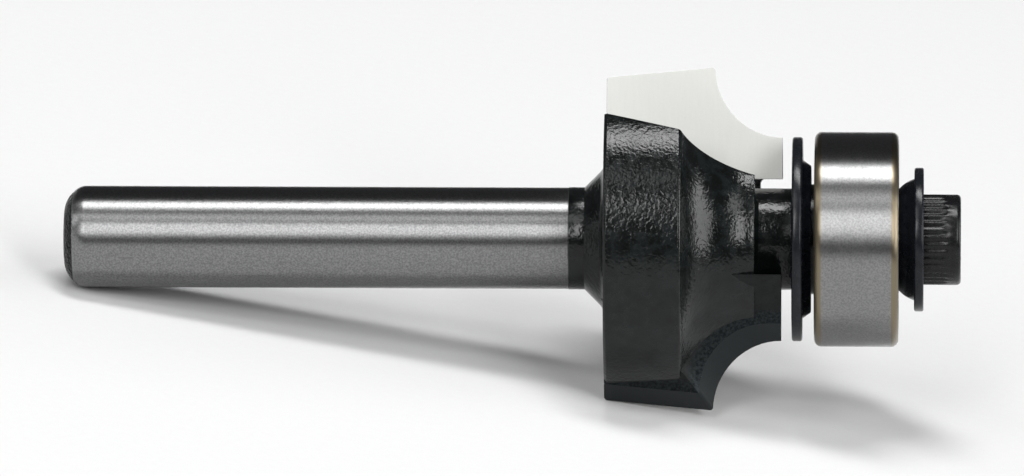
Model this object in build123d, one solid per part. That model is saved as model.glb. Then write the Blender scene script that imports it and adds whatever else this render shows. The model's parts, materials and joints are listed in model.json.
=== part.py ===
"""Rounding-over router bit: 6 mm shank, two brazed carbide wings and a ball bearing pilot.

The bit is built along +X, from the shank's end to the clamp screw's head. Its upper wing points
along +Y and the face of that wing's carbide looks along +Z. The finished bit is then laid on the
ground as it comes to rest: on the shank's end, the lower tip's back corner and the gullet's lip.
"""
from build123d import *
import math
import os

# ---- Driving dimensions, mm ----

# Shank, and the flare that joins it to the body
shank_diameter = 6.0
shank_ground_length = 29.85
shank_end_chamfer = 0.9
unground_diameter = 6.06
unground_length = 0.96
flare_length = 1.23
flare_fillet = 0.5

# Ball bearing pilot, a sealed 3/16 x 1/2 inch bearing
bearing_diameter = 12.7
bearing_bore = 4.762
bearing_width = 4.978
bearing_edge_radius = 0.45
ball_count = 7
ball_diameter = 2.381
race_conformity = 1.06
inner_land_height = 0.42
outer_land_height = 0.42
ring_edge_chamfer = 0.12
seal_thickness = 0.35
seal_recess = 0.18
seal_seat_depth = 0.3
seal_lip_clearance = 0.08
cage_open_length = 0.9
cage_back_length = 1.75
cage_gap = 0.22
cage_pocket_clearance = 0.06

# Cutting profile
profile_radius = 4.0
wing_length = 10.44
back_taper_angle = 5.25
face_offset = 2.0
tip_thickness = 1.5
tip_inner_height = 3.55
tip_relief_radial = 0.70
tip_relief_axial = 0.55
backing_relief_radial = 1.2
backing_relief_axial = 0.95
backing_thickness = 2.6
wing_root_overlap = 0.15

# Round body that limits the chip
chip_limit = 1.1
body_land_length = 4.51
body_front_radius = 6.0
body_waist_radius = 7.0
body_waist_distance = 1.65
body_length = 8.86
rim_chamfer = 0.15

# Chip gullets: where the floor meets the back rim, and how it slopes
gullet_lip_height = 7.4
gullet_dip_angle = 19.3
gullet_rise_angle = 29.5
gullet_root_radius = 0.2

# Neck, and the slot under the nose of the upper tip
neck_diameter = 6.0
neck_fillet = 0.25
neck_end_gap = 0.6
slot_length = 1.3

# Rear washer between neck and bearing
rear_washer_diameter = 12.08
rear_washer_thickness = 0.62
rear_washer_chamfer = 0.15
rear_cone_diameter = 9.4
rear_cone_length = 0.5
rear_cone_angle = 36.0
rear_boss_diameter = 6.5
rear_boss_length = 0.2

# Front washer, with a counterbore for the screw's head
front_washer_diameter = 8.5
front_washer_thickness = 0.56
front_washer_chamfer = 0.12
front_hub_length = 0.92
front_hub_small_diameter = 6.0
front_hub_large_diameter = 7.2
head_sunk_depth = 0.8

# Clamp screw, M3 socket head
screw_diameter = 3.0
screw_length = 8.0
screw_tip_chamfer = 0.3
head_diameter = 5.35
head_height = 3.0
head_edge_radius = 0.25
socket_width = 2.5
socket_depth = 1.3

# Fits
screw_hole_clearance = 0.02
washer_bore_clearance = 0.1
head_clearance = 0.1
spigot_clearance = 0.004
spigot_setback = 0.18
spigot_chamfer = 0.2
tapped_hole_spare = 0.6

# ---- Sizes worked out from the driving dimensions ----

shank_radius = shank_diameter / 2
neck_radius = neck_diameter / 2
bearing_radius = bearing_diameter / 2
bore_radius = bearing_bore / 2
spigot_radius = bore_radius - spigot_clearance

# The pilot rides on the wood beside the curve, so the curve ends at the bearing's radius.
cutting_radius = bearing_radius + profile_radius
cutting_diameter = 2 * cutting_radius
body_radius = cutting_radius - chip_limit

# Stations along the axis
body_back = shank_ground_length + unground_length + flare_length
body_front = body_back + body_length
wing_front = body_back + wing_length
profile_start = wing_front - profile_radius
washer_back = wing_front + neck_end_gap
cone_start = washer_back + rear_washer_thickness
boss_start = cone_start + rear_cone_length
bearing_back = boss_start + rear_boss_length
bearing_front = bearing_back + bearing_width
bearing_middle = bearing_back + bearing_width / 2
hub_front = bearing_front + front_hub_length
front_washer_front = hub_front + front_washer_thickness
head_seat = front_washer_front - head_sunk_depth
head_front = head_seat + head_height
spigot_front = bearing_front - spigot_setback
screw_tip = head_seat - screw_length

# Bearing radii
pitch_radius = (bearing_radius + bore_radius) / 2
ball_radius = ball_diameter / 2
race_radius = ball_radius * race_conformity
inner_land_radius = pitch_radius - ball_radius + inner_land_height
outer_land_radius = pitch_radius + ball_radius - outer_land_height
seal_seat_radius = outer_land_radius + seal_seat_depth


def height_on_face(radius):
    """Height, in the plane of a carbide's face, of a point at this radius from the axis."""
    return math.sqrt(radius**2 - face_offset**2)


# Cutting edge of the upper tip, in the plane of its face
corner_height = height_on_face(cutting_radius)
nose_height = height_on_face(bearing_radius)
taper_drop = (profile_start - body_back) * math.tan(math.radians(back_taper_angle))
tip_back_height = corner_height - taper_drop

# Gullet floor
gullet_dip = math.tan(math.radians(gullet_dip_angle))
gullet_rise = math.tan(math.radians(gullet_rise_angle))
gullet_lip_depth = math.sqrt(body_radius**2 - gullet_lip_height**2)

# A box this size reaches past the body on every side.
outside = cutting_diameter

# The point of the round shank that touches the ground is found by going round this many times.
touch_rounds = 12


def turned(face):
    """Solid turned about the X axis from a face on one side of it."""
    return revolve(face, Axis.X)


def ring(points):
    """Ring turned from a closed outline of (x, radius) points."""
    return turned(make_face(Polyline(*points, close=True)))


def rod(start, end, radius):
    """Plain cylinder on the X axis, from one station to another."""
    return Pos((start + end) / 2, 0, 0) * Rot(0, 90, 0) * Cylinder(radius, end - start)


def rounded(face, corner, radius):
    """The face with one corner filleted, the one nearest to a point."""
    return fillet(face.vertices().sort_by_distance((*corner, 0))[0], radius)


def bevelled(face, corner, length):
    """The face with one corner chamfered, the one nearest to a point."""
    return chamfer(face.vertices().sort_by_distance((*corner, 0))[0], length)


def block(low, high):
    """Box between two opposite corners."""
    size = [b - a for a, b in zip(low, high)]
    middle = [(a + b) / 2 for a, b in zip(low, high)]
    return Pos(*middle) * Box(*size)


def opposite(shape):
    """The same shape turned half a turn about the axis."""
    return Rot(180, 0, 0) * shape


# ---- Cutter body ----

def turned_blank():
    """Shank, flare, round body with its hollow front, neck and the spigot for the bearing."""
    flare_radius = unground_diameter / 2 + flare_length
    flare_start = shank_ground_length + unground_length
    land_end = body_back + body_land_length
    waist = body_back + body_land_length + body_waist_distance
    outline = Polyline(
        (0, 0),
        (0, shank_radius - shank_end_chamfer),
        (shank_end_chamfer, shank_radius),
        (shank_ground_length, shank_radius),
        (shank_ground_length, unground_diameter / 2),
        (flare_start, unground_diameter / 2),
        (body_back, flare_radius),
        (body_back, body_radius - rim_chamfer),
        (body_back + rim_chamfer, body_radius),
        (land_end, body_radius),
    )
    hollow = ThreePointArc((land_end, body_radius), (waist, body_waist_radius), (body_front, body_front_radius))
    spigot = Polyline(
        (body_front, body_front_radius),
        (body_front, neck_radius),
        (washer_back, neck_radius),
        (washer_back, spigot_radius),
        (spigot_front - spigot_chamfer, spigot_radius),
        (spigot_front, spigot_radius - spigot_chamfer),
        (spigot_front, 0),
        (0, 0),
    )
    face = make_face(outline + hollow + spigot)
    face = rounded(face, (body_back, flare_radius), flare_fillet)
    face = rounded(face, (body_front, neck_radius), neck_fillet)
    return turned(face)


def wing_outline(inner_height):
    """Face of a wing in the XY plane, drawn past the nose so that the relief can slide back."""
    past_nose = wing_front + outside
    edge = Polyline(
        (past_nose, nose_height),
        (past_nose, inner_height),
        (body_back, inner_height),
        (body_back, tip_back_height),
        (profile_start, corner_height),
    )
    middle_angle = math.radians(45)
    middle_x = wing_front - profile_radius * math.cos(middle_angle)
    middle_height = height_on_face(cutting_radius - profile_radius * math.sin(middle_angle))
    curve = ThreePointArc((profile_start, corner_height), (middle_x, middle_height), (wing_front, nose_height))
    nose = Line((wing_front, nose_height), (past_nose, nose_height))
    return make_face(edge + curve + nose)


def relieved_slab(outline, thickness, axial, radial):
    """Slab behind an outline whose flank falls back and inwards as it gets deeper."""
    return Solid.extrude(outline.face(), Vector(-axial, -radial, -1) * thickness)


def upper_tip():
    """Carbide plate with the cutting edge, its flank ground to the primary relief."""
    face = Pos(0, 0, -face_offset) * wing_outline(0)
    slab = relieved_slab(face, tip_thickness, tip_relief_axial, tip_relief_radial)
    bounds = block(
        (body_back, tip_inner_height, -face_offset - tip_thickness),
        (wing_front, outside, -face_offset),
    )
    return slab & bounds


def upper_wing():
    """Steel of the upper wing: the relief ground with the tip, and the steeper one behind it."""
    seat_depth = face_offset + tip_thickness
    front = Pos(0, 0, -face_offset) * wing_outline(-outside)
    back = Pos(-tip_relief_axial * tip_thickness, -tip_relief_radial * tip_thickness, -tip_thickness) * front
    steel = relieved_slab(front, tip_thickness, tip_relief_axial, tip_relief_radial)
    steel += relieved_slab(back, backing_thickness, backing_relief_axial, backing_relief_radial)
    root_height = height_on_face(neck_radius) - wing_root_overlap
    return steel & block(
        (body_back, root_height, -seat_depth - backing_thickness),
        (wing_front, outside, -face_offset),
    )


def upper_gullet():
    """Room for the chips in front of the upper tip, over a sloping floor; the core stays round."""
    floor_back = gullet_lip_height - gullet_rise * (gullet_lip_depth + face_offset)
    side = make_face(
        Polyline(
            (-face_offset, floor_back),
            (-face_offset + outside, floor_back + gullet_rise * outside),
            (-face_offset + outside, 2 * outside),
            (-face_offset, 2 * outside),
            close=True,
        )
    )
    side = rounded(side, (-face_offset, floor_back), gullet_root_radius)
    # The section is drawn with its own x along the bit's z, and runs down the dip of the floor.
    section = Plane(origin=(body_back, 0, 0), x_dir=(0, 0, 1), z_dir=(-1, 0, 0)) * side
    room = Solid.extrude(section.face(), Vector(1, -gullet_dip, 0) * outside)
    room = room & block((body_back, -outside, -face_offset), (wing_front + neck_end_gap / 2, outside, outside))
    return room - rod(0, washer_back, neck_radius)


def upper_seat():
    """Pocket that the upper tip is brazed into."""
    return block(
        (body_back - outside, tip_inner_height, -face_offset - tip_thickness),
        (wing_front + outside, outside, -face_offset),
    )


def nose_slot():
    """Slot between the neck and the nose of the upper wing, with a rounded inner end."""
    radius = (tip_inner_height - neck_radius) / 2
    start = wing_front - slot_length + radius
    slot = block((start, 0, -outside), (washer_back, tip_inner_height, 0))
    slot += Pos(start, neck_radius + radius, -outside / 2) * Cylinder(radius, outside)
    return slot - rod(0, washer_back, neck_radius)


def tapped_hole():
    """Hole for the clamp screw, with a drill point at its bottom."""
    radius = screw_diameter / 2 + screw_hole_clearance
    bottom = screw_tip - tapped_hole_spare
    return ring([(bottom - radius / 2, 0), (bottom, radius), (spigot_front, radius), (spigot_front, 0)])


def cutter_body():
    """One steel piece: turned, then milled for the tips and the chips."""
    body = turned_blank() + upper_wing() + opposite(upper_wing())
    cut = upper_gullet() + upper_seat()
    return body - cut - opposite(cut) - nose_slot() - tapped_hole()


# ---- Bearing pilot ----

def race():
    """Section of the groove that the balls run in."""
    return Pos(bearing_middle, pitch_radius) * Circle(race_radius)


def bearing_outer_ring():
    """Ring that rolls along the wood, counterbored at both ends for its seals."""
    depth = seal_recess + seal_thickness
    face = make_face(
        Polyline(
            (bearing_back, seal_seat_radius),
            (bearing_back, bearing_radius),
            (bearing_front, bearing_radius),
            (bearing_front, seal_seat_radius),
            (bearing_front - depth, seal_seat_radius),
            (bearing_front - depth, outer_land_radius),
            (bearing_back + depth, outer_land_radius),
            (bearing_back + depth, seal_seat_radius),
            close=True,
        )
    )
    face = rounded(face, (bearing_back, bearing_radius), bearing_edge_radius)
    face = rounded(face, (bearing_front, bearing_radius), bearing_edge_radius)
    return turned(face - race())


def bearing_inner_ring():
    """Ring that the washers clamp on the spigot."""
    face = make_face(
        Polyline(
            (bearing_back, bore_radius + ring_edge_chamfer),
            (bearing_back, inner_land_radius),
            (bearing_front, inner_land_radius),
            (bearing_front, bore_radius + ring_edge_chamfer),
            (bearing_front - ring_edge_chamfer, bore_radius),
            (bearing_back + ring_edge_chamfer, bore_radius),
            close=True,
        )
    )
    return turned(face - race())


def ball_place(number):
    """Centre of one ball on the pitch circle."""
    return Rot(360 / ball_count * number, 0, 0) * Pos(bearing_middle, pitch_radius, 0)


def bearing_ball(number):
    return ball_place(number) * Sphere(ball_radius)


def bearing_cage():
    """Crown cage: a ring with a pocket for each ball, open on the side towards the shank."""
    inner = inner_land_radius + cage_gap
    outer = outer_land_radius - cage_gap
    start = bearing_middle - cage_open_length
    end = bearing_middle + cage_back_length
    cage = ring([(start, inner), (start, outer), (end, outer), (end, inner)])
    for number in range(ball_count):
        cage -= ball_place(number) * Sphere(ball_radius + cage_pocket_clearance)
    return cage


def seal(outer_face, inwards):
    """Rubber seal in the outer ring's counterbore; inwards is 1 or -1 along the axis."""
    lip = inner_land_radius + seal_lip_clearance
    start = outer_face + inwards * seal_recess
    end = start + inwards * seal_thickness
    middle = start + inwards * seal_thickness / 2
    return ring([
        (start, seal_seat_radius),
        (start, lip + seal_thickness),
        (middle, lip),
        (end, lip + seal_thickness / 2),
        (end, seal_seat_radius),
    ])


def rear_washer():
    """Washer with a cone and a small boss that bears on the inner ring only."""
    bore = spigot_radius + washer_bore_clearance
    outer = rear_washer_diameter / 2
    cone_radius = rear_cone_diameter / 2
    cone_end_radius = cone_radius - rear_cone_length * math.tan(math.radians(rear_cone_angle))
    face = make_face(
        Polyline(
            (washer_back, bore),
            (washer_back, outer),
            (cone_start, outer),
            (cone_start, cone_radius),
            (boss_start, cone_end_radius),
            (boss_start, rear_boss_diameter / 2),
            (bearing_back, rear_boss_diameter / 2),
            (bearing_back, bore),
            close=True,
        )
    )
    face = bevelled(face, (washer_back, outer), rear_washer_chamfer)
    face = bevelled(face, (cone_start, outer), rear_washer_chamfer)
    return turned(face)


def front_washer():
    """Washer with a hub on the inner ring and a counterbore for the screw's head."""
    bore = screw_diameter / 2 + washer_bore_clearance
    outer = front_washer_diameter / 2
    counterbore = head_diameter / 2 + head_clearance
    face = make_face(
        Polyline(
            (bearing_front, bore),
            (bearing_front, front_hub_small_diameter / 2),
            (hub_front, front_hub_large_diameter / 2),
            (hub_front, outer),
            (front_washer_front, outer),
            (front_washer_front, counterbore),
            (head_seat, counterbore),
            (head_seat, bore),
            close=True,
        )
    )
    face = bevelled(face, (hub_front, outer), front_washer_chamfer)
    face = bevelled(face, (front_washer_front, outer), front_washer_chamfer)
    return turned(face)


def clamp_screw():
    """Socket head cap screw that holds the washers and the inner ring against the neck."""
    head = head_diameter / 2
    face = make_face(
        Polyline(
            (screw_tip, 0),
            (screw_tip, screw_diameter / 2 - screw_tip_chamfer),
            (screw_tip + screw_tip_chamfer, screw_diameter / 2),
            (head_seat, screw_diameter / 2),
            (head_seat, head),
            (head_front, head),
            (head_front, 0),
            close=True,
        )
    )
    face = rounded(face, (head_front, head), head_edge_radius)
    socket = Plane(origin=(head_front, 0, 0), z_dir=(-1, 0, 0)) * RegularPolygon(
        socket_width / 2, 6, major_radius=False
    )
    bottom = head_front - socket_depth
    point = ring([(bottom, 0), (bottom, socket_width / 2), (bottom - socket_width / 6, 0)])
    return turned(face) - extrude(socket, socket_depth) - point


# ---- Rest on the ground ----

def lip_on_rim(x):
    """Point of the gullet's lip where the floor meets the body's round rim, at a station."""
    offset = gullet_lip_height - gullet_dip * (x - body_back) - gullet_rise * gullet_lip_depth
    square = 1 + gullet_rise**2
    half = offset * gullet_rise
    depth = (math.sqrt(half**2 - square * (offset**2 - body_radius**2)) - half) / square
    return Vector(x, offset + gullet_rise * depth, depth)


def ground():
    """Plane that the bit comes to rest on: the shank's end, the back corner of the lower cutting
    edge, and the back rim beside that wing's gullet."""
    corner = Vector(body_back, -tip_back_height, face_offset)
    lip = lip_on_rim(body_back + rim_chamfer)
    lip = Vector(lip.X, -lip.Y, -lip.Z)
    shank_touch = Vector(shank_end_chamfer, -shank_radius, 0)
    for _ in range(touch_rounds):
        up = (lip - corner).cross(shank_touch - corner).normalized()
        if up.Y < 0:
            up = up * -1
        down = Vector(0, -up.Y, -up.Z).normalized()
        shank_touch = Vector(shank_end_chamfer, 0, 0) + down * shank_radius
    along = Vector(1, 0, 0) - up * up.X
    return Plane(origin=corner, x_dir=along, z_dir=up)


def make_parts():
    """Every piece, by name, as it is put together along the X axis."""
    parts = {
        "cutter_body": cutter_body(),
        "carbide_tip_upper": upper_tip(),
        "carbide_tip_lower": opposite(upper_tip()),
        "rear_washer": rear_washer(),
        "bearing_inner_ring": bearing_inner_ring(),
        "bearing_outer_ring": bearing_outer_ring(),
        "bearing_cage": bearing_cage(),
        "bearing_rear_seal": seal(bearing_back, 1),
        "bearing_front_seal": seal(bearing_front, -1),
        "front_washer": front_washer(),
        "clamp_screw": clamp_screw(),
    }
    for number in range(ball_count):
        parts[f"bearing_ball_{number + 1}"] = bearing_ball(number)
    return parts


def laid_down(parts):
    """The pieces lying on the ground, with the middle of their bounding box over the origin."""
    lying = ground().location.inverse()
    parts = {name: lying * shape for name, shape in parts.items()}
    bounds = Compound(list(parts.values())).bounding_box()
    middle = bounds.center()
    shift = Pos(-middle.X, -middle.Y, -bounds.min.Z)
    return {name: shift * shape for name, shape in parts.items()}


os.makedirs("parts", exist_ok=True)
for name, shape in laid_down(make_parts()).items():
    export_step(shape, f"parts/{name}.step")
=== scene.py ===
"""Looks of a rounding-over router bit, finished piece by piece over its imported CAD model."""
import json
import math
import bmesh
import bpy
from mathutils import Matrix, Vector


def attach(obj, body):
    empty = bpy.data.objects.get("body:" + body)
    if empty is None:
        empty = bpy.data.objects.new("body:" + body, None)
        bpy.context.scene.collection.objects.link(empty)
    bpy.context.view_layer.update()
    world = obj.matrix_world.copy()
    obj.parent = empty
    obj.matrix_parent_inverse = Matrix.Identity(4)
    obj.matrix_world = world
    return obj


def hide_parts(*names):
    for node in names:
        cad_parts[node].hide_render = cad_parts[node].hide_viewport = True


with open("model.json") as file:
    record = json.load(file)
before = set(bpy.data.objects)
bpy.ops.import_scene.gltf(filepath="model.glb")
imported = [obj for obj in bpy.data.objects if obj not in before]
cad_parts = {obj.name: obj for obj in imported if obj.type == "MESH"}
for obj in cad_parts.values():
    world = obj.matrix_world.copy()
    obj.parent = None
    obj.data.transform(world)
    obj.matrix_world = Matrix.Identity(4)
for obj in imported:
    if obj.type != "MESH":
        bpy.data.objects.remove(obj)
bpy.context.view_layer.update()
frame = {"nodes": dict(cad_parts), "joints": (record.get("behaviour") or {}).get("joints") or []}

# ---- How the bit lies ----
# The bit rests on its shank's end, a wing's back corner and a gullet's lip, so its axis rises a
# little towards the bearing. Every piece is drawn in millimetres with the axis along X, the upper
# wing up and that wing's carbide facing +Z, and is then laid down.
metre_per_mm = 0.001
axis = Vector(frame["joints"][0]["axis"]).normalized()
pivot = Vector(frame["joints"][0]["pos_m"])
tip_face = max(frame["nodes"]["carbide_tip_upper"].data.polygons, key=lambda face: face.area)
facing = tip_face.normal if tip_face.normal.y < 0 else -tip_face.normal
facing = (facing - axis * facing.dot(axis)).normalized()
body_vertices = frame["nodes"]["cutter_body"].data.vertices
shank_end = min(axis.dot(vertex.co - pivot) for vertex in body_vertices)
lying = Matrix((axis, facing.cross(axis), facing)).transposed().to_4x4()
lying.translation = pivot + axis * shank_end
laid_down = lying @ Matrix.Scale(metre_per_mm, 4)


def measure(node):
    """Start, end and outer radius of a CAD node on the drawing, in mm."""
    points = [laid_down.inverted() @ vertex.co for vertex in frame["nodes"][node].data.vertices]
    stations = [point.x for point in points]
    return min(stations), max(stations), max(point.yz.length for point in points)


# ---- Cutter body ----
# One piece of tool steel: turned, then milled for its tips and chips. It is blackened all over, and
# then the shank is ground bright and the backs of the wings are ground together with their tips.
body_back, wing_front, cutting_radius = measure("carbide_tip_upper")
neck_end = measure("rear_washer")[0]
spigot_end = measure("cutter_body")[1]
bearing_start, bearing_end, bearing_radius = measure("bearing_outer_ring")

# How finely the meshes are drawn, a reach that clears the whole bit, how far cuts overlap, and what
# counts as touching or as sharp
turning_segments = 160
profile_steps = 16
round_segments = 4
edge_segments = 2
far = 30.0
cut_overlap = 0.05
merge_gap = 0.0005
merge_distance = 0.01
sharp_angle = math.radians(25)
smooth_angle = math.radians(38)

# Turned blank, in mm; a pair is a station along the axis and the radius there
shank_radius = 3.0
shank_ground_end = 29.85
shank_chamfer = 0.9
shank_face_round = 0.55
shank_corner_round = 0.35
unground_radius = 3.03
flare_start = 30.81
flare_round = 0.45
body_radius = 9.25
rim_chamfer = 0.15
land_end = 36.55
land_edge_round = 0.13
waist = (38.2, 7.0)
body_front = (40.9, 6.0)
neck_radius = 3.0
neck_cone = 0.22
spigot_radius = 2.377
spigot_chamfer = 0.2
screw_hole_radius = 1.52
screw_hole_bottom = 41.46
drill_point = screw_hole_radius / 2
fine_round = 0.05

# Wings: the tips' flanks, and the steeper flanks of the steel behind them
profile_radius = 4.0
back_taper = math.radians(5.25)
face_offset = 2.0
tip_thickness = 1.5
tip_inner_height = 3.55
tip_relief = Vector((-0.55, -0.70, -1))
backing_relief = Vector((-0.95, -1.2, -1))
backing_thickness = 2.6
wing_root_height = 2.09

# Gullets, seats of the tips, and the slot under the upper wing's nose
gullet_lip_height = 7.4
gullet_dip = math.tan(math.radians(19.3))
gullet_rise = math.tan(math.radians(29.5))
gullet_root_round = 0.2
gullet_stop = 0.3
seat_reach = 1.0
slot_length = 1.3
slot_segments = 6
slot_lift = cut_overlap / 5
broken_edge = 0.045

# Places of the finishes in the body's list, after the black coat, and their number
flank_index, worn_index, shank_index, finish_count = 1, 2, 3, 4


def lines_crossing(first, first_way, second, second_way):
    """Where two lines in a plane cross, each given by a point and its direction."""
    gap = second - first
    reach = gap.cross(second_way) / first_way.cross(second_way)
    return first + first_way * reach


def arc_between(start, middle, end, steps):
    """Points inside the arc that runs from start to end through a middle point."""
    a, b, c = Vector(start), Vector(middle), Vector(end)
    across_ab, across_bc = (b - a).orthogonal(), (c - b).orthogonal()
    centre = Vector(lines_crossing((a + b) / 2, across_ab, (b + c) / 2, across_bc))
    sweep = (a - centre).angle_signed(c - centre)
    for step in range(1, steps):
        yield tuple(centre + Matrix.Rotation(-sweep * step / steps, 2) @ (a - centre))


def flat_outline(points, height=0):
    """New mesh with one flat face through (x, y) points, parallel to the drawing's XY plane."""
    drawing = bmesh.new()
    drawing.faces.new([drawing.verts.new((x, y, height)) for x, y in points])
    return drawing


def round_corner(drawing, place, radius, segments=round_segments):
    """Rounds the corner of a flat outline that lies at a place."""
    corner = min(drawing.verts, key=lambda vertex: (vertex.co.xy - Vector(place)).length)
    bmesh.ops.bevel(drawing, geom=[corner], offset=radius, offset_type="OFFSET", segments=segments,
                    profile=0.5, affect="VERTICES", material=-1)


def turn(drawing, segments=turning_segments):
    """Turns a flat outline about the X axis into a closed solid."""
    bmesh.ops.delete(drawing, geom=drawing.faces[:], context="FACES_ONLY")
    on_axis = [edge for edge in drawing.edges
               if all(abs(vertex.co.y) < merge_gap for vertex in edge.verts)]
    bmesh.ops.delete(drawing, geom=on_axis, context="EDGES")
    bmesh.ops.spin(drawing, geom=drawing.verts[:] + drawing.edges[:], cent=(0, 0, 0),
                   axis=(1, 0, 0), angle=2 * math.pi, steps=segments, use_merge=True)
    bmesh.ops.remove_doubles(drawing, verts=drawing.verts, dist=merge_gap)
    bmesh.ops.recalc_face_normals(drawing, faces=drawing.faces)
    return drawing


def extrude(drawing, face, way):
    """Extrudes a flat face, loose or on a solid, and returns the new end."""
    on_solid = all(len(edge.link_faces) > 1 for edge in face.edges)
    grown = bmesh.ops.extrude_face_region(drawing, geom=[face])["geom"]
    if on_solid:
        bmesh.ops.delete(drawing, geom=[face], context="FACES_ONLY")
    moved = [part for part in grown if isinstance(part, bmesh.types.BMVert)]
    bmesh.ops.translate(drawing, verts=moved, vec=way)
    return next(part for part in grown if isinstance(part, bmesh.types.BMFace))


def trim(drawing, point, outwards):
    """Cuts away what lies past a plane, and closes the solid there."""
    whole = drawing.verts[:] + drawing.edges[:] + drawing.faces[:]
    cut = bmesh.ops.bisect_plane(drawing, geom=whole, plane_co=point, plane_no=outwards,
                                 clear_outer=True)
    rim = [part for part in cut["geom_cut"] if isinstance(part, bmesh.types.BMEdge)]
    bmesh.ops.holes_fill(drawing, edges=rim)


def put_in_order(drawing):
    """Orders a mesh's parts by place, because a boolean leaves them in another order each run."""
    place_digits = 4
    for parts in (drawing.verts, drawing.edges, drawing.faces):
        places = {}
        for part in parts:
            corners = getattr(part, "verts", [part])
            places[part] = sum((vertex.co for vertex in corners), Vector())
        ranked = sorted(parts, key=lambda part: [round(way, place_digits) for way in places[part]])
        ranks = {part: rank for rank, part in enumerate(ranked)}
        parts.sort(key=ranks.get)
        parts.index_update()


def combine(first, second, operation):
    """Joins two solids, or cuts the second from the first, and returns the result."""
    solids = []
    for drawing in (first, second):
        bmesh.ops.recalc_face_normals(drawing, faces=drawing.faces)
        mesh = bpy.data.meshes.new("solid")
        for _ in range(finish_count):
            mesh.materials.append(None)
        drawing.to_mesh(mesh)
        drawing.free()
        solids.append(bpy.data.objects.new("solid", mesh))
        bpy.context.scene.collection.objects.link(solids[-1])
    boolean = solids[0].modifiers.new("combine", "BOOLEAN")
    boolean.object = solids[1]
    boolean.operation = operation
    boolean.solver = "EXACT"
    boolean.material_mode = "INDEX"
    result = bmesh.new()
    result.from_object(solids[0], bpy.context.evaluated_depsgraph_get())
    put_in_order(result)
    for solid in solids:
        bpy.data.objects.remove(solid)
    return result


def half_turn(drawing):
    """A copy of a solid, turned half a turn about the axis."""
    copy = drawing.copy()
    turned = Matrix.Rotation(math.pi, 3, "X")
    bmesh.ops.rotate(copy, verts=copy.verts, cent=(0, 0, 0), matrix=turned)
    return copy


def box(low, high):
    """Block between two corners."""
    (left, down, back), (right, up, front) = low, high
    block = flat_outline([(left, down), (right, down), (right, up), (left, up)], back)
    extrude(block, list(block.faces)[0], (0, 0, front - back))
    return block


def height_on_face(radius):
    """Height, in the plane of a carbide's face, of a point at a radius from the axis."""
    return math.sqrt(radius**2 - face_offset**2)


def ground_as_one(edge):
    """Whether an edge lies between two ground flanks, or where a flank meets its tip's seat."""
    between_flanks = all(face.material_index == flank_index for face in edge.link_faces)
    seat_depth = face_offset + tip_thickness
    on_seat = all(abs(abs(vertex.co.z) - seat_depth) < merge_distance for vertex in edge.verts)
    return between_flanks or on_seat


def break_edges(drawing, width, material=-1):
    """Puts a small bevel on each sharp outer edge, apart from those that are ground as one."""
    bmesh.ops.remove_doubles(drawing, verts=drawing.verts, dist=merge_distance)
    sharp = [edge for edge in drawing.edges if edge.is_manifold
             and edge.calc_face_angle_signed() > sharp_angle and not ground_as_one(edge)]
    bmesh.ops.bevel(drawing, geom=sharp, offset=width, offset_type="OFFSET", segments=edge_segments,
                    profile=0.5, affect="EDGES", clamp_overlap=False, material=material)


def lay_down(name, drawing, *materials):
    """The finished piece, laid on the ground and smoothly shaded."""
    bmesh.ops.recalc_face_normals(drawing, faces=drawing.faces)
    for face in drawing.faces:
        face.smooth = True
    for edge in drawing.edges:
        edge.smooth = edge.is_manifold and edge.calc_face_angle() < smooth_angle
    drawing.transform(laid_down)
    mesh = bpy.data.meshes.new(name)
    drawing.to_mesh(mesh)
    drawing.free()
    for material in materials:
        mesh.materials.append(material)
    piece = bpy.data.objects.new(name, mesh)
    bpy.context.scene.collection.objects.link(piece)
    normals = piece.modifiers.new("weighted_normals", "WEIGHTED_NORMAL")
    normals.keep_sharp = True
    return piece


corner_height = height_on_face(cutting_radius)
nose_height = height_on_face(bearing_radius)
profile_start = wing_front - profile_radius
tip_back_height = corner_height - (profile_start - body_back) * math.tan(back_taper)


def wing_outline(inner_height):
    """Outline of a wing in the plane of its carbide's face, drawn on past its nose."""
    points = [(far * 2, nose_height), (far * 2, inner_height), (body_back, inner_height),
              (body_back, tip_back_height), (profile_start, corner_height)]
    for step in range(1, profile_steps + 1):
        angle = math.pi / 2 * step / profile_steps
        radius = cutting_radius - profile_radius * math.sin(angle)
        points.append((wing_front - profile_radius * math.cos(angle), height_on_face(radius)))
    return points


def turned_blank():
    """Shank, flare and body, with a pocket in front where the core goes in."""
    flare_radius = unground_radius + body_back - flare_start
    front = body_front[0] + neck_cone + cut_overlap
    pocket_bottom = body_front[0] - 2 * neck_cone
    pocket_radius = screw_hole_radius + cut_overlap
    outline = flat_outline([
        (0, 0),
        (0, shank_radius - shank_chamfer),
        (shank_chamfer, shank_radius),
        (shank_ground_end, shank_radius),
        (shank_ground_end, unground_radius),
        (flare_start, unground_radius),
        (body_back, flare_radius),
        (body_back, body_radius - rim_chamfer),
        (body_back + rim_chamfer, body_radius),
        (land_end, body_radius),
        *arc_between((land_end, body_radius), waist, body_front, profile_steps),
        body_front,
        (body_front[0], neck_radius + neck_cone),
        (front, neck_radius - cut_overlap),
        (front, pocket_radius),
        (pocket_bottom, pocket_radius),
        (pocket_bottom, 0),
    ])
    round_corner(outline, (0, shank_radius - shank_chamfer), shank_face_round)
    round_corner(outline, (shank_chamfer, shank_radius), shank_corner_round)
    round_corner(outline, (body_back, flare_radius), flare_round)
    round_corner(outline, (body_back, body_radius - rim_chamfer), fine_round)
    round_corner(outline, (body_back + rim_chamfer, body_radius), fine_round)
    round_corner(outline, (land_end, body_radius), land_edge_round)
    round_corner(outline, body_front, fine_round)
    return turn(outline)


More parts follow.
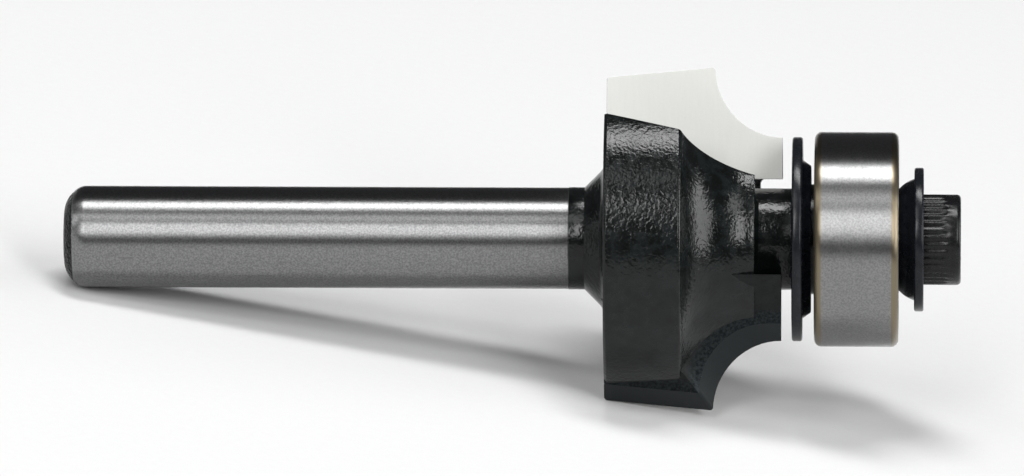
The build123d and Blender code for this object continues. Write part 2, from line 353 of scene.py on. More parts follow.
def core():
    """Core, neck and spigot, with the screw's hole; the gullets run out over the core."""
    core_start = body_back + tip_thickness
    outline = flat_outline([
        (core_start, 0),
        (core_start, neck_radius),
        (neck_end, neck_radius),
        (neck_end, spigot_radius),
        (spigot_end - spigot_chamfer, spigot_radius),
        (spigot_end, spigot_radius - spigot_chamfer),
        (spigot_end, screw_hole_radius),
        (screw_hole_bottom, screw_hole_radius),
        (screw_hole_bottom - drill_point, 0),
    ])
    round_corner(outline, (neck_end, neck_radius), fine_round)
    return turn(outline)


def wing():
    """The upper wing's steel, with the tip's relief near its face and a steeper one behind that."""
    steel = flat_outline(wing_outline(wing_root_height), -face_offset)
    steel.transform(Matrix.Translation(-tip_relief * cut_overlap))
    flank = extrude(steel, list(steel.faces)[0], tip_relief * (tip_thickness + cut_overlap))
    extrude(steel, flank, backing_relief * backing_thickness)
    for face in steel.faces:
        face.material_index = flank_index if abs(face.normal.z) < math.cos(sharp_angle) else 0
    trim(steel, (body_back, 0, 0), (-1, 0, 0))
    trim(steel, (wing_front, 0, 0), (1, 0, 0))
    trim(steel, (0, wing_root_height, 0), (0, -1, 0))
    return steel


def gullet():
    """What is milled away for the upper gullet: its floor rises to the lip and dips forwards."""
    lip_depth = math.sqrt(body_radius**2 - gullet_lip_height**2)
    floor_back = gullet_lip_height - gullet_rise * (lip_depth + face_offset)
    floor_far = floor_back + gullet_rise * (far + face_offset)
    section = flat_outline([(-face_offset, floor_back), (far, floor_far), (far, 2 * far),
                            (-face_offset, 2 * far)])
    round_corner(section, (-face_offset, floor_back), gullet_root_round)
    stand_up = Matrix(((0, 0, 1, body_back - cut_overlap), (0, 1, 0, gullet_dip * cut_overlap),
                       (1, 0, 0, 0), (0, 0, 0, 1)))
    section.transform(stand_up)
    extrude(section, list(section.faces)[0], Vector((1, -gullet_dip, 0)) * far)
    trim(section, (neck_end - gullet_stop, 0, 0), (1, 0, 0))
    return section


def tip_seat():
    """What is milled away for a carbide tip."""
    return box((body_back - seat_reach, tip_inner_height, -face_offset - tip_thickness),
               (wing_front + seat_reach, far, cut_overlap - face_offset))


def nose_slot():
    """The slot between the upper tip's nose and the neck."""
    radius = (tip_inner_height - neck_radius) / 2
    start = wing_front - slot_length
    top = tip_inner_height + slot_lift
    outline = flat_outline([(start, 0), (far * 2, 0), (far * 2, top), (start, top)], -far)
    round_corner(outline, (start, top), radius, slot_segments)
    extrude(outline, list(outline.faces)[0], (0, 0, far))
    return outline


cutter = combine(turned_blank(), wing(), "UNION")
cutter = combine(cutter, half_turn(wing()), "UNION")
for cut in (gullet(), tip_seat()):
    cutter = combine(cutter, half_turn(cut), "DIFFERENCE")
    cutter = combine(cutter, cut, "DIFFERENCE")
cutter = combine(cutter, nose_slot(), "DIFFERENCE")
cutter = combine(cutter, core(), "UNION")
break_edges(cutter, broken_edge, worn_index)

# Finishes of the cutter body. Colours are linear and sizes in mm. A roughness is a pair, for the
# two ends of a tone, and a span is the stretch of a noise's values that an effect is spread over.
noise_span = (0.3, 0.7)
narrow_span = (0.35, 0.65)
noise_middle = 0.5

coat_dark = (0.0035, 0.004, 0.004, 1)
coat_light = (0.007, 0.009, 0.009, 1)
coat_roughness = (0.14, 0.2)
coat_ior = 1.34
coat_wrinkle_size = 0.23
coat_wrinkle_height = 0.019

steel_dark = (0.16, 0.162, 0.163, 1)
steel_light = (0.27, 0.271, 0.269, 1)
steel_roughness = (0.32, 0.34)
ground_anisotropy = 0.9
steel_mark_spacing = 0.1
steel_mark_height = 0.003
steel_grain_size = 0.11
steel_grain_height = 0.0018
ground_start = 0.52
ragged_edge = 0.06

# The flanks' ground steel is painted far darker than the shank's ground steel: painted shade on the
# backs of the wings.
flank_shaded_dark = (0.008, 0.010, 0.011, 1)
flank_shaded_light = (0.026, 0.031, 0.033, 1)
flank_roughness = (0.36, 0.5)
flank_ior = 1.25
flank_ground_depth = 4.1
flank_ragged_edge = 0.22
flank_ragged_reach = 4 * flank_ragged_edge
flank_streak_size = 0.16
flank_streak_turn = (0, math.radians(38), 0)
flank_streak_stretch = (1, 1, 0.12)
flank_streak_height = 2 * steel_grain_height
flank_wrinkle_height = coat_wrinkle_height / 2

worn_span = (0.4, 0.8)
worn_bare = (0.2, 0.9)
worn_roughness = (0.25, 0.4)
worn_patch_size = 0.5
worn_wrinkle_height = coat_wrinkle_height / 4


def add(tree, kind, sockets, **settings):
    """Adds a node, and gives each named socket its value or the link that feeds it."""
    node = tree.nodes.new(kind)
    for name, value in settings.items():
        setattr(node, name, value)
    for name, value in sockets.items():
        if isinstance(value, bpy.types.NodeSocket):
            tree.links.new(value, node.inputs[name])
        else:
            node.inputs[name].default_value = value
    return node


def calculate(tree, operation, *values):
    return add(tree, "ShaderNodeMath", dict(enumerate(values)), operation=operation).outputs[0]


def eased(tree, value, low, high, first=0.0, last=1.0):
    """Goes smoothly from a first result to a last one while the value goes from low to high."""
    sockets = {"Value": value, "From Min": low, "From Max": high, "To Min": first, "To Max": last}
    spread = add(tree, "ShaderNodeMapRange", sockets, interpolation_type="SMOOTHSTEP")
    return spread.outputs["Result"]


def weighted_sum(tree, first, first_weight, second, second_weight):
    return calculate(tree, "ADD", calculate(tree, "MULTIPLY", first, first_weight),
                     calculate(tree, "MULTIPLY", second, second_weight))


def blend_colours(tree, share, first, second):
    """Mixes two colours; the node's sockets share their names, so they are picked by number."""
    return add(tree, "ShaderNodeMix", {0: share, 6: first, 7: second}, data_type="RGBA").outputs[2]


def blend_values(tree, share, first, second):
    return add(tree, "ShaderNodeMix", {0: share, 2: first, 3: second}).outputs[0]


def noise(tree, place, size, detail=2.0, roughness=0.5, distortion=0.0):
    sockets = {"Vector": place, "Scale": 1 / size, "Detail": detail, "Roughness": roughness,
               "Distortion": distortion}
    return add(tree, "ShaderNodeTexNoise", sockets).outputs[0]


def new_effect(name, value_inputs):
    """A shared effect: it takes a place in mm and some values, and puts out a height and a tone."""
    effect = bpy.data.node_groups.new(name, "ShaderNodeTree")
    effect.interface.new_socket("Place", in_out="INPUT", socket_type="NodeSocketVector")
    for socket in value_inputs:
        effect.interface.new_socket(socket, in_out="INPUT", socket_type="NodeSocketFloat")
    for socket in ("Height", "Tone"):
        effect.interface.new_socket(socket, in_out="OUTPUT", socket_type="NodeSocketFloat")
    given = effect.nodes.new("NodeGroupInput").outputs
    results = effect.nodes.new("NodeGroupOutput").inputs
    return effect, given, results


def counted_in(tree, size, place):
    """A place counted in an effect's own size instead of in mm."""
    sockets = {0: place, "Scale": calculate(tree, "DIVIDE", 1.0, size)}
    return add(tree, "ShaderNodeVectorMath", sockets, operation="SCALE").outputs[0]


def coat_wrinkle_effect():
    """Worm-like wrinkles of a baked black coat, and the slow change of its tone."""
    effect, given, results = new_effect("coat_wrinkle", ["Size"])
    grain_share = 0.18
    place = counted_in(effect, given["Size"], given["Place"])
    worms = noise(effect, place, size=1.0, detail=0.5, distortion=0.7)
    grain = noise(effect, place, size=0.3, roughness=0.6, distortion=0.4)
    cloud = noise(effect, place, size=3.2, detail=3.0, roughness=0.6)
    height = calculate(effect, "MULTIPLY_ADD", grain, grain_share, worms)
    effect.links.new(height, results["Height"])
    effect.links.new(eased(effect, cloud, *narrow_span), results["Tone"])
    return effect


def distance_from_axis(tree, parts):
    """Distance from the bit's axis of a place that is split into its parts."""
    squares = [calculate(tree, "POWER", parts[part], 2.0) for part in ("Y", "Z")]
    return calculate(tree, "SQRT", calculate(tree, "ADD", *squares))


def turning_mark_effect():
    """Fine rings that a lathe or a grinder leaves round the axis, on cylinders, cones and faces."""
    effect, given, results = new_effect("turning_marks", ["Spacing"])
    wander_size, wander_reach = 2.5, 0.12
    parts = add(effect, "ShaderNodeSeparateXYZ", {0: given["Place"]}).outputs
    along_outline = calculate(effect, "ADD", parts["X"], distance_from_axis(effect, parts))
    wander = calculate(effect, "MULTIPLY", noise(effect, given["Place"], wander_size), wander_reach)
    wandering = calculate(effect, "ADD", along_outline, wander)
    across = calculate(effect, "DIVIDE", wandering, given["Spacing"])
    ring_sockets = {"W": across, "Scale": 1.0, "Detail": 3.0, "Roughness": 0.6}
    rings = add(effect, "ShaderNodeTexNoise", ring_sockets, noise_dimensions="1D").outputs[0]
    band_sockets = {"W": across, "Scale": 0.13, "Detail": 2.0}
    bands = add(effect, "ShaderNodeTexNoise", band_sockets, noise_dimensions="1D").outputs[0]
    effect.links.new(rings, results["Height"])
    effect.links.new(eased(effect, bands, *noise_span), results["Tone"])
    return effect


def fine_grain_effect():
    """Even, fine grain of a ground or blasted face."""
    effect, given, results = new_effect("fine_grain", ["Size"])
    place = counted_in(effect, given["Size"], given["Place"])
    grain = noise(effect, place, size=1.0, detail=3.0, roughness=0.65)
    cloud = noise(effect, place, size=6.0, detail=3.0, roughness=0.6)
    effect.links.new(grain, results["Height"])
    effect.links.new(eased(effect, cloud, *noise_span), results["Tone"])
    return effect


coat_wrinkle = coat_wrinkle_effect()
turning_marks = turning_mark_effect()
fine_grain = fine_grain_effect()


def use(tree, effect, **values):
    return add(tree, "ShaderNodeGroup", values, node_tree=effect).outputs


def new_finish(name, ior=1.5):
    """A material, its node tree, its shader and the place on the drawing, in mm."""
    material = bpy.data.materials.new(name)
    material.use_nodes = True
    tree = material.node_tree
    shader = tree.nodes["Principled BSDF"]
    shader.inputs["IOR"].default_value = ior
    location, rotation, scale = laid_down.inverted().decompose()
    own_place = tree.nodes.new("ShaderNodeTexCoord").outputs["Object"]
    sockets = {"Vector": own_place, "Location": location, "Rotation": rotation.to_euler(),
               "Scale": scale}
    return material, tree, shader, add(tree, "ShaderNodeMapping", sockets).outputs[0]


def connect(tree, shader, colour, roughness, height, metallic=None):
    """Feeds the shader; the height is in mm."""
    relief = {"Height": height, "Distance": metre_per_mm, "Strength": 1.0}
    bump = add(tree, "ShaderNodeBump", relief)
    tree.links.new(colour, shader.inputs["Base Color"])
    tree.links.new(roughness, shader.inputs["Roughness"])
    tree.links.new(bump.outputs[0], shader.inputs["Normal"])
    if metallic is not None:
        tree.links.new(metallic, shader.inputs["Metallic"])


def ground_along_axis(tree, shader):
    """Spreads reflections along the axis, across the fine marks that grinding leaves round it."""
    shader.inputs["Anisotropic"].default_value = ground_anisotropy
    across_marks = add(tree, "ShaderNodeCombineXYZ", dict(enumerate(axis)))
    tree.links.new(across_marks.outputs[0], shader.inputs["Tangent"])


def ground_steel(tree, place, spacing, dark, light):
    """Colour and height of bright ground steel, with the tone of its marks and its grain."""
    marks = use(tree, turning_marks, Place=place, Spacing=spacing)
    grain = use(tree, fine_grain, Place=place, Size=steel_grain_size)["Height"]
    colour = blend_colours(tree, eased(tree, grain, *noise_span), light, dark)
    height = weighted_sum(tree, marks["Height"], steel_mark_height, grain, steel_grain_height)
    return colour, height, marks["Tone"], grain


def ragged_border(tree, grain, distance, border):
    """0 before a border and 1 past it; the grain makes the border ragged."""
    ragged = calculate(tree, "MULTIPLY_ADD", grain, ragged_edge, distance)
    return eased(tree, ragged, border, border + ragged_edge)


def streaks(tree, place, size, turned, stretch):
    """Fine grain that a grinding wheel has drawn out along one way."""
    sockets = {"Vector": place, "Rotation": turned, "Scale": stretch}
    along_streak = add(tree, "ShaderNodeMapping", sockets).outputs[0]
    return use(tree, fine_grain, Place=along_streak, Size=size)["Height"]


def blackened():
    """Baked black coat on turned and milled steel."""
    material, tree, shader, place = new_finish("blackened_tool_steel", coat_ior)
    wrinkle = use(tree, coat_wrinkle, Place=place, Size=coat_wrinkle_size)
    connect(tree, shader, blend_colours(tree, wrinkle["Tone"], coat_dark, coat_light),
            eased(tree, wrinkle["Tone"], 0.0, 1.0, *coat_roughness),
            calculate(tree, "MULTIPLY", wrinkle["Height"], coat_wrinkle_height))
    return material


def ground_shank():
    """Bright ground shank, up to the ragged border of the black coat that stays on its end."""
    material, tree, shader, place = new_finish("ground_shank_steel", coat_ior)
    ground_along_axis(tree, shader)
    wrinkle = use(tree, coat_wrinkle, Place=place, Size=coat_wrinkle_size)
    steel, steel_height, tone, grain = ground_steel(tree, place, steel_mark_spacing,
                                                    steel_dark, steel_light)
    station = add(tree, "ShaderNodeSeparateXYZ", {0: place}).outputs["X"]
    bare = ragged_border(tree, grain, station, ground_start)
    connect(tree, shader, blend_colours(tree, bare, coat_light, steel),
            eased(tree, tone, 0.0, 1.0, *steel_roughness),
            blend_values(tree, bare, wrinkle["Height"], steel_height), bare)
    return material


def relief_ground():
    """Back of a wing: steel ground with the carbide in streaks, and coat left deeper in. The bare
    ground steel is painted near black, as painted shade on the wings' backs.
    """
    material, tree, shader, place = new_finish("relief_ground_steel_painted_shade", flank_ior)
    wrinkle = use(tree, coat_wrinkle, Place=place, Size=coat_wrinkle_size)
    streak = streaks(tree, place, flank_streak_size, flank_streak_turn, flank_streak_stretch)
    speckle = use(tree, fine_grain, Place=place, Size=flank_streak_size)["Height"]
    depth = calculate(tree, "ABSOLUTE", add(tree, "ShaderNodeSeparateXYZ", {0: place}).outputs["Z"])
    ragged = calculate(tree, "MULTIPLY_ADD", calculate(tree, "SUBTRACT", speckle, noise_middle),
                       flank_ragged_reach, depth)
    bare = eased(tree, ragged, flank_ground_depth - flank_ragged_edge,
                 flank_ground_depth + flank_ragged_edge, 1.0, 0.0)
    coat = blend_colours(tree, wrinkle["Tone"], coat_dark, coat_light)
    # The bare flank steel takes the painted-shade colours.
    steel = blend_colours(tree, eased(tree, streak, *narrow_span), flank_shaded_dark, flank_shaded_light)
    height = weighted_sum(tree, streak, flank_streak_height,
                          wrinkle["Height"], flank_wrinkle_height)
    connect(tree, shader, blend_colours(tree, bare, coat, steel),
            eased(tree, streak, *noise_span, *flank_roughness), height, bare)
    return material


def worn_coat():
    """Broken edges, where handling has rubbed the coat thin in patches."""
    material, tree, shader, place = new_finish("worn_coat", coat_ior)
    patches = use(tree, coat_wrinkle, Place=place, Size=worn_patch_size)
    bare = eased(tree, patches["Height"], *worn_span, *worn_bare)
    connect(tree, shader, blend_colours(tree, bare, coat_light, steel_dark),
            eased(tree, patches["Tone"], 0.0, 1.0, *worn_roughness),
            calculate(tree, "MULTIPLY", patches["Height"], worn_wrinkle_height), bare)
    return material


for face in cutter.faces:
    if face.calc_center_median().x < shank_ground_end:
        face.material_index = shank_index
cutter_piece = lay_down("router_bit_body", cutter, blackened(), relief_ground(), worn_coat(),
                        ground_shank())
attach(cutter_piece, "cutter")
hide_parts("cutter_body")


# ---- Carbide tips ----
# Two plates of pale sintered carbide, ground flat on the face and brazed into the wings' seats.
# Their flanks are ground back from the cutting edge in the same pass as the steel behind them.
tip_corner_round = 0.2
tip_edge_break = 0.03
carbide_dark = (0.61, 0.616, 0.585, 1)
carbide_light = (0.69, 0.695, 0.66, 1)
carbide_roughness = (0.42, 0.52)
carbide_metallic = 0.3
carbide_ior = 1.5
carbide_tone_span = (0.2, 0.8)
carbide_grain_size = 0.2
carbide_streak_turn = (0, 0, math.radians(-30))
carbide_streak_stretch = (1, 0.1, 1)
carbide_streak_share = 0.6
carbide_streak_height = 0.0016
# The flanks' carbide is painted near black, far darker than the ground face: painted shade on the
# backs of the tips.
flank_carbide_shaded_dark = (0.010, 0.013, 0.014, 1)
flank_carbide_shaded_light = (0.020, 0.024, 0.026, 1)
flank_carbide_ior = 1.25
flank_carbide_streak_turn = (math.radians(50), 0, 0)


def carbide_tip():
    """The upper tip: its face, and the flanks that fall away behind its cutting edge."""
    plate = flat_outline(wing_outline(tip_inner_height), -face_offset)
    round_corner(plate, (body_back, tip_back_height), tip_corner_round)
    round_corner(plate, (profile_start, corner_height), tip_corner_round)
    extrude(plate, list(plate.faces)[0], tip_relief * tip_thickness)
    for face in plate.faces:
        face.material_index = int(abs(face.normal.z) < math.cos(sharp_angle))
    trim(plate, (body_back, 0, 0), (-1, 0, 0))
    trim(plate, (wing_front, 0, 0), (1, 0, 0))
    trim(plate, (0, tip_inner_height, 0), (0, -1, 0))
    bmesh.ops.recalc_face_normals(plate, faces=plate.faces)
    break_edges(plate, tip_edge_break)
    return plate


def carbide(name, ior, dark, light, streak_turn):
    """Ground carbide with fine wheel marks that run slantwise over it."""
    material, tree, shader, place = new_finish(name, ior)
    shader.inputs["Metallic"].default_value = carbide_metallic
    streak = streaks(tree, place, carbide_grain_size, streak_turn, carbide_streak_stretch)
    grain = use(tree, fine_grain, Place=place, Size=carbide_grain_size)["Height"]
    tone = weighted_sum(tree, streak, carbide_streak_share, grain, 1 - carbide_streak_share)
    relief = calculate(tree, "ADD", streak, grain)
    connect(tree, shader, blend_colours(tree, tone, dark, light),
            eased(tree, tone, *carbide_tone_span, *carbide_roughness),
            calculate(tree, "MULTIPLY", relief, carbide_streak_height))
    return material


tip_face_finish = carbide("ground_carbide", carbide_ior, carbide_dark, carbide_light,
                          carbide_streak_turn)
# The flank finish is the same carbide in painted-shade colours.
tip_flank_shaded_finish = carbide("relief_ground_carbide_painted_shade", flank_carbide_ior, flank_carbide_shaded_dark,
                           flank_carbide_shaded_light, flank_carbide_streak_turn)
for name, drawing in (("carbide_tip_upper", carbide_tip()),
                      ("carbide_tip_lower", half_turn(carbide_tip()))):
    tip = lay_down(name + "_brazed", drawing, tip_face_finish, tip_flank_shaded_finish)
    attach(tip, "cutter")
    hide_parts(name)


# ---- Rear washer ----
# A blackened steel washer, turned with a thin disc that shields the bearing and a cone whose small
# boss bears on the inner ring only. The clamp screw pulls it against the neck.
washer_start, washer_end, rear_disc_radius = measure("rear_washer")
rear_bore_radius = 2.477
rear_disc_thickness = 0.62
rear_cone_radius = 4.7
rear_cone_length = 0.5
rear_cone_end_radius = 4.337
rear_boss_radius = 3.25
disc_edge_round = 0.14
washer_edge_round = 0.06
washer_dark = (0.005, 0.006, 0.008, 1)
washer_light = (0.012, 0.014, 0.018, 1)
washer_ior = 1.32
washer_roughness = (0.2, 0.28)
washer_mark_spacing = 0.11
washer_mark_height = 0.001


def rounded_outline(points, rounds):
    """Flat outline through points, with a radius at some of them."""
    outline = flat_outline(points)
    for place, radius in rounds:
        round_corner(outline, place, radius)
    return outline


def rear_washer():
    disc_front = washer_start + rear_disc_thickness
    cone_front = disc_front + rear_cone_length
    rim_back, rim_front = (washer_start, rear_disc_radius), (disc_front, rear_disc_radius)
    cone_foot, cone_top = (disc_front, rear_cone_radius), (cone_front, rear_cone_end_radius)
    points = [
        (washer_start, rear_bore_radius),
        rim_back,
        rim_front,
        cone_foot,
        cone_top,
        (cone_front, rear_boss_radius),
        (washer_end, rear_boss_radius),
        (washer_end, rear_bore_radius),
    ]
    rounds = [(rim_back, disc_edge_round), (rim_front, disc_edge_round),
              (cone_foot, washer_edge_round), (cone_top, washer_edge_round)]
    return turn(rounded_outline(points, rounds))


def oxided_steel(name, dark, light, roughness, spacing):
    """Turned steel with a thin blue-black oxide that lets the tool marks show."""
    material, tree, shader, place = new_finish(name, washer_ior)
    marks = use(tree, turning_marks, Place=place, Spacing=spacing)
    grain = use(tree, fine_grain, Place=place, Size=spacing)
    tone = calculate(tree, "MULTIPLY", marks["Tone"], grain["Tone"])
    relief = calculate(tree, "ADD", marks["Height"], grain["Height"])
    connect(tree, shader, blend_colours(tree, tone, dark, light),
            eased(tree, grain["Height"], *noise_span, *roughness),
            calculate(tree, "MULTIPLY", relief, washer_mark_height))
    return material


washer_finish = oxided_steel("oxided_washer", washer_dark, washer_light, washer_roughness,
                             washer_mark_spacing)
rear_piece = lay_down("rear_washer_turned", rear_washer(), washer_finish)
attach(rear_piece, "cutter")
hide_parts("rear_washer")


# ---- Ball bearing ----
# A sealed ball bearing pressed over the spigot: hardened rings ground bright, seven balls in a
# moulded crown cage, and a rubber seal seated in each counterbore of the outer ring.
bearing_middle = (bearing_start + bearing_end) / 2
ball_pitch_radius = 4.366
race_radius = 1.262
outer_land_radius = 5.136
inner_land_radius = 3.595
seal_seat_radius = 5.436
seal_recess = 0.18
seal_thickness = 0.35
seal_lip_clearance = 0.08
ring_corner_round = 0.42
ring_dark = (0.18, 0.182, 0.183, 1)
ring_light = (0.265, 0.266, 0.263, 1)
ring_tint = (0.22, 0.185, 0.13, 1)
ring_roughness = (0.31, 0.34)
ring_mark_spacing = 0.1
rubber_dark = (0.010, 0.010, 0.011, 1)
rubber_light = (0.022, 0.022, 0.023, 1)
rubber_roughness = (0.45, 0.6)
rubber_grain_size = 0.12
cage_dark = (0.11, 0.095, 0.07, 1)
cage_light = (0.16, 0.14, 0.10, 1)
cage_roughness = (0.4, 0.55)
cage_grain_size = 0.2
moulded_grain_height = 0.004
ball_dark = (0.50, 0.50, 0.51, 1)
ball_light = (0.58, 0.58, 0.58, 1)
ball_roughness = (0.06, 0.12)
ball_grain_size = 0.3
ball_grain_height = 0.0002


def outer_ring():
    """The ring that rolls on the wood, with its raceway and a counterbore for each seal."""
    floor = seal_recess + seal_thickness
    groove = math.sqrt(race_radius**2 - (outer_land_radius - ball_pitch_radius)**2)
    race_start = (bearing_middle + groove, outer_land_radius)
    race_bottom = (bearing_middle, ball_pitch_radius + race_radius)
    race_end = (bearing_middle - groove, outer_land_radius)
    rim_back, rim_front = (bearing_start, bearing_radius), (bearing_end, bearing_radius)
    points = [
        (bearing_start, seal_seat_radius),
        rim_back,
        rim_front,
        (bearing_end, seal_seat_radius),
        (bearing_end - floor, seal_seat_radius),
        (bearing_end - floor, outer_land_radius),
        race_start,
        *arc_between(race_start, race_bottom, race_end, profile_steps),
        race_end,
        (bearing_start + floor, outer_land_radius),
        (bearing_start + floor, seal_seat_radius),
    ]
    rounds = [(rim_back, ring_corner_round), (rim_front, ring_corner_round)]
    return turn(rounded_outline(points, rounds))


def seal(outer_face, inwards):
    """Moulded seal with a groove round its middle and a lip over the inner ring."""
    lip = inner_land_radius + seal_lip_clearance
    face = outer_face + inwards * seal_recess
    groove_floor = face + inwards * seal_recess / 2
    groove_middle = (lip + seal_seat_radius) / 2
    groove_top = (face, groove_middle + seal_thickness)
    groove_foot = (face, groove_middle - seal_thickness)
    lip_edge = (face + inwards * seal_thickness / 2, lip)
    back = face + inwards * seal_thickness
    points = [
        (face, seal_seat_radius),
        groove_top,
        (groove_floor, groove_middle + seal_recess),
        (groove_floor, groove_middle - seal_recess),
        groove_foot,
        (face, lip + seal_thickness / 2),
        lip_edge,
        (back, lip + seal_thickness / 2),
        (back, seal_seat_radius),
    ]
    rounds = [(corner, fine_round) for corner in (groove_top, groove_foot, lip_edge)]
    return turn(rounded_outline(points, rounds))


def ground_ring_steel():
    """Ground bearing steel, with the straw tint that heat treatment left in the rounded corners."""
    material, tree, shader, place = new_finish("ground_bearing_steel")
    shader.inputs["Metallic"].default_value = 1
    ground_along_axis(tree, shader)
    bright, height, tone, grain = ground_steel(tree, place, ring_mark_spacing,
                                               ring_dark, ring_light)
    parts = add(tree, "ShaderNodeSeparateXYZ", {0: place}).outputs
    off_middle = calculate(tree, "SUBTRACT", parts["X"], bearing_middle)
    from_middle = calculate(tree, "ABSOLUTE", off_middle)
    from_axis = distance_from_axis(tree, parts)
    flat_half = (bearing_end - bearing_start) / 2 - ring_corner_round
    past_flat = ragged_border(tree, grain, from_middle, flat_half)
    past_face = ragged_border(tree, grain, from_axis, bearing_radius - ring_corner_round)
    corner = calculate(tree, "MULTIPLY", past_flat, past_face)
    ground_rough = eased(tree, tone, 0.0, 1.0, *ring_roughness)
    connect(tree, shader, blend_colours(tree, corner, bright, ring_tint),
            blend_values(tree, corner, ground_rough, ring_roughness[1]), height)
    return material


def grained(name, dark, light, roughness, size, height, metallic=0):
    """A plain finish with a fine grain: rubber, moulded plastic or a lapped ball."""
    material, tree, shader, place = new_finish(name)
    shader.inputs["Metallic"].default_value = metallic
    grain = use(tree, fine_grain, Place=place, Size=size)
    connect(tree, shader, blend_colours(tree, grain["Tone"], dark, light),
            eased(tree, grain["Tone"], 0.0, 1.0, *roughness),
            calculate(tree, "MULTIPLY", grain["Height"], height))
    return material


ring_finish = ground_ring_steel()
ring_piece = lay_down("bearing_outer_ring_ground", outer_ring(), ring_finish)
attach(ring_piece, "outer_ring")
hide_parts("bearing_outer_ring")

rubber = grained("seal_rubber", rubber_dark, rubber_light, rubber_roughness, rubber_grain_size,
                 moulded_grain_height)
for node, outer_face, inwards in (("bearing_rear_seal", bearing_start, 1),
                                  ("bearing_front_seal", bearing_end, -1)):
    seal_piece = lay_down(node + "_moulded", seal(outer_face, inwards), rubber)
    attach(seal_piece, "outer_ring")
    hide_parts(node)


def refinish(node, finish):
    """Gives a CAD node, whose shape is right as it is, another finish."""
    materials = frame["nodes"][node].data.materials
    materials.clear()
    materials.append(finish)


lapped = grained("lapped_ball_steel", ball_dark, ball_light, ball_roughness, ball_grain_size,
                 ball_grain_height, metallic=1)
moulded = grained("moulded_cage", cage_dark, cage_light, cage_roughness, cage_grain_size,
                  moulded_grain_height)
for node in frame["nodes"]:
    if node.startswith("bearing_ball"):
        refinish(node, lapped)
refinish("bearing_cage", moulded)
refinish("bearing_inner_ring", ring_finish)


# ---- Front washer ----
# A smaller blackened washer: its hub bears on the inner ring, and the screw's head sits in its
# counterbore.
hub_start, front_disc_end, front_disc_radius = measure("front_washer")
front_bore_radius = 1.6
hub_start_radius = 3.0
hub_bulge = (0.45, 3.38)  # from the hub's start, and the radius there
hub_end = 50.298
hub_end_radius = 3.6
counterbore_radius = 2.775
counterbore_floor = 50.058
front_disc_round = 0.11


def front_washer():
    hub_back, hub_front = (hub_start, hub_start_radius), (hub_end, hub_end_radius)
    rim_back, rim_front = (hub_end, front_disc_radius), (front_disc_end, front_disc_radius)
    points = [
        (hub_start, front_bore_radius),
        hub_back,
        *arc_between(hub_back, (hub_start + hub_bulge[0], hub_bulge[1]), hub_front, round_segments),
        hub_front,
        rim_back,
        rim_front,
        (front_disc_end, counterbore_radius),
        (counterbore_floor, counterbore_radius),
        (counterbore_floor, front_bore_radius),
    ]
    rounds = [(rim_back, front_disc_round), (rim_front, front_disc_round)]
    return turn(rounded_outline(points, rounds))


front_piece = lay_down("front_washer_turned", front_washer(), washer_finish)
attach(front_piece, "cutter")
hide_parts("front_washer")


# ---- Clamp screw ----
# An M3 socket head cap screw of blackened alloy steel, cold-headed with a straight knurl that runs
# out before the top of its head. It clamps both washers and the inner ring against the neck.
screw_tip, head_end, head_radius = measure("clamp_screw")
thread_radius = 1.5
thread_chamfer = 0.3
head_start = 50.058
head_corner_round = 0.25
ridge_count = 37
ridge_steps = 8
knurl_depth = 0.09
knurl_end = 52.35
knurl_fade = 0.35
knurl_rows = 12
socket_sides = 6
socket_width = 2.5
socket_depth = 1.3
screw_dark = (0.004, 0.004, 0.0045, 1)
screw_light = (0.009, 0.0095, 0.010, 1)
screw_roughness = (0.22, 0.30)


def knurled_head():
    """The screw, with straight ridges round its head that fade out below its top."""
    knurl_length = knurl_end - head_start
    rows = [head_start + knurl_length * row / knurl_rows for row in range(knurl_rows + 1)]
    points = [
        (screw_tip, 0),
        (screw_tip, thread_radius - thread_chamfer),
        (screw_tip + thread_chamfer, thread_radius),
        (head_start, thread_radius),
        *((station, head_radius) for station in rows),
        (head_end, head_radius),
        (head_end, 0),
    ]
    outline = rounded_outline(points, [((head_end, head_radius), head_corner_round)])
    head = turn(outline, ridge_count * ridge_steps)
    for vertex in head.verts:
        if vertex.co.x > head_start - merge_gap and vertex.co.yz.length > head_radius - merge_gap:
            fade = min(1, max(0, (knurl_end - vertex.co.x) / knurl_fade))
            around = math.atan2(vertex.co.z, vertex.co.y)
            valley = (1 - math.cos(around * ridge_count)) / 2
            vertex.co.yz = vertex.co.yz * (1 - knurl_depth * fade * valley / head_radius)
    return head


def hex_socket():
    corner_radius = socket_width / math.sqrt(3)
    stand_up = Matrix.Rotation(math.pi / 2, 4, "Y")
    stand_up.translation = (head_end + cut_overlap, 0, 0)
    socket = bmesh.new()
    bmesh.ops.create_circle(socket, cap_ends=True, segments=socket_sides, radius=corner_radius,
                            matrix=stand_up)
    extrude(socket, list(socket.faces)[0], (-socket_depth - cut_overlap, 0, 0))
    return socket


screw_finish = oxided_steel("blackened_screw", screw_dark, screw_light, screw_roughness,
                            washer_mark_spacing)
screw = combine(knurled_head(), hex_socket(), "DIFFERENCE")
screw_piece = lay_down("clamp_screw_knurled", screw, screw_finish)
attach(screw_piece, "cutter")
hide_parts("clamp_screw")


# ---- Floor ----
# A large round sheet of pale, matt paper that the bit lies on. It is not part of the bit. Its sizes
# are in metres.
floor_radius = 6.0
floor_segments = 64
paper_dark = (0.70, 0.70, 0.70, 1)
paper_light = (0.73, 0.73, 0.73, 1)
paper_roughness = 0.9
paper_gloss = 0.2
paper_grain = 0.0006
paper_relief = 0.00001

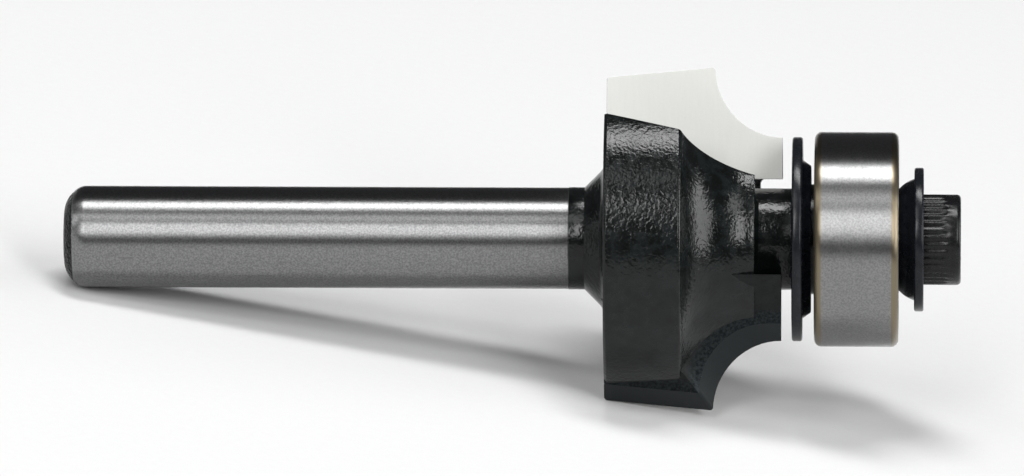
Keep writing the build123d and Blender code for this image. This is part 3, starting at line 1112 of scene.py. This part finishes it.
sheet = bmesh.new()
bmesh.ops.create_circle(sheet, cap_ends=True, segments=floor_segments, radius=floor_radius)
floor_mesh = bpy.data.meshes.new("paper_floor")
sheet.to_mesh(floor_mesh)
sheet.free()
floor = bpy.data.objects.new("paper_floor", floor_mesh)
bpy.context.scene.collection.objects.link(floor)
paper = bpy.data.materials.new("pale_paper")
paper.use_nodes = True
paper_tree = paper.node_tree
paper_shader = paper_tree.nodes["Principled BSDF"]
paper_shader.inputs["Roughness"].default_value = paper_roughness
paper_shader.inputs["Specular IOR Level"].default_value = paper_gloss
paper_place = paper_tree.nodes.new("ShaderNodeTexCoord").outputs["Object"]
fibres = noise(paper_tree, paper_place, paper_grain, detail=3.0, roughness=0.6)
paper_colour = blend_colours(paper_tree, fibres, paper_dark, paper_light)
paper_tree.links.new(paper_colour, paper_shader.inputs["Base Color"])
paper_bump = add(paper_tree, "ShaderNodeBump",
                 {"Height": fibres, "Distance": paper_relief, "Strength": 1.0})
paper_tree.links.new(paper_bump.outputs[0], paper_shader.inputs["Normal"])
floor_mesh.materials.append(paper)


# ---- Lamps ----
# Soft rectangular lamps that all face the bit: one overhead, one high on the right and a dim one
# opposite it, two in front, and one past each end. A dim grey room fills the shadows.
room_light = (0.06, 0.06, 0.064, 1)


def softbox(name, place, size, radiance):
    """A soft rectangular lamp that faces the bit; its place and size are in metres."""
    light = bpy.data.lights.new(name, "AREA")
    light.shape = "RECTANGLE"
    light.size, light.size_y = size
    light.energy = radiance * math.pi * size[0] * size[1]
    lamp = bpy.data.objects.new(name, light)
    lamp.location = place
    lamp.rotation_euler = (-Vector(place)).to_track_quat("-Z", "Y").to_euler()
    bpy.context.scene.collection.objects.link(lamp)


softbox("overhead_softbox", (-0.05, 0.03, 0.8), (0.2, 0.38), 15.5)
softbox("ceiling_bounce", (-0.36, -0.44, 0.80), (0.4, 0.34), 3.2)
softbox("high_right_softbox", (0.38, -0.45, 0.80), (0.24, 0.34), 5.0)
softbox("front_left_softbox", (-0.36, -0.96, 0.62), (0.24, 0.58), 10.5)
softbox("front_right_softbox", (0.44, -0.94, 0.62), (0.28, 0.58), 10.5)
softbox("right_softbox", (1.0, 0.02, 0.35), (0.7, 0.5), 5.4)
softbox("left_softbox", (-1.0, -0.05, 0.35), (0.3, 0.4), 4.0)
room = bpy.data.worlds.new("studio_room")
bpy.context.scene.world = room
room.use_nodes = True
room.node_tree.nodes["Background"].inputs["Color"].default_value = room_light


# ---- Camera ----
# A long lens that looks almost square on to the upper tip's face, from a little towards the
# bearing's end, and rolled a trace about its own line of sight.
lens = 600
distance = 1.01
sight_limit = 100
aim_station = 26.5
yaw = math.radians(1.5)
roll = math.radians(0.23)
camera_data = bpy.data.cameras.new("camera")
camera_data.lens = lens
camera_data.clip_end = sight_limit
camera = bpy.data.objects.new("camera", camera_data)
aim = Matrix.Translation((aim_station * metre_per_mm, 0, 0))
camera.matrix_world = (lying @ aim @ Matrix.Rotation(yaw, 4, "Y") @ Matrix.Rotation(roll, 4, "Z")
                       @ Matrix.Translation((0, 0, distance)))
bpy.context.scene.collection.objects.link(camera)
bpy.context.scene.camera = camera
bpy.context.scene.view_settings.view_transform = "Standard"
